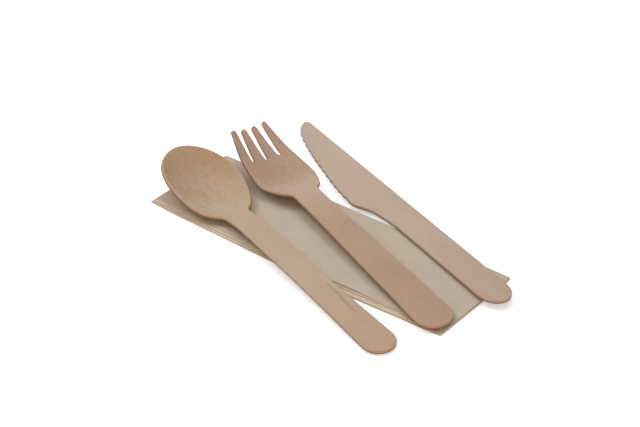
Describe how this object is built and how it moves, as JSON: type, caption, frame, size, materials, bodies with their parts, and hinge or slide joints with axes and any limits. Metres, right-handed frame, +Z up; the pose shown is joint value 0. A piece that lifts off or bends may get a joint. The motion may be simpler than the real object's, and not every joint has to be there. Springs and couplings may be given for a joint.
{
  "type": "wooden cutlery set",
  "caption": "Disposable wooden spoon, fork and serrated knife lying on a narrow folded paper napkin, tips fanned out to one side.",
  "frame": {"origin": "middle of the napkin's underside, on the table", "axes": "+X along the napkin's long side, towards the utensils' handle ends; +Y across the napkin, from the spoon to the knife; +Z up from the table"},
  "size_m": [0.1714, 0.1208, 0.0159],
  "materials": {
    "napkin_paper": "matt unbleached tissue paper",
    "spoon_birch": "bare, lightly sanded birch veneer",
    "fork_birch": "bare, lightly sanded birch veneer",
    "knife_birch": "bare, lightly sanded birch veneer"
  },
  "bodies": {
    "root": {"napkin": "napkin_paper", "spoon": "spoon_birch", "fork": "fork_birch", "knife": "knife_birch"}
  },
  "joints": []
}
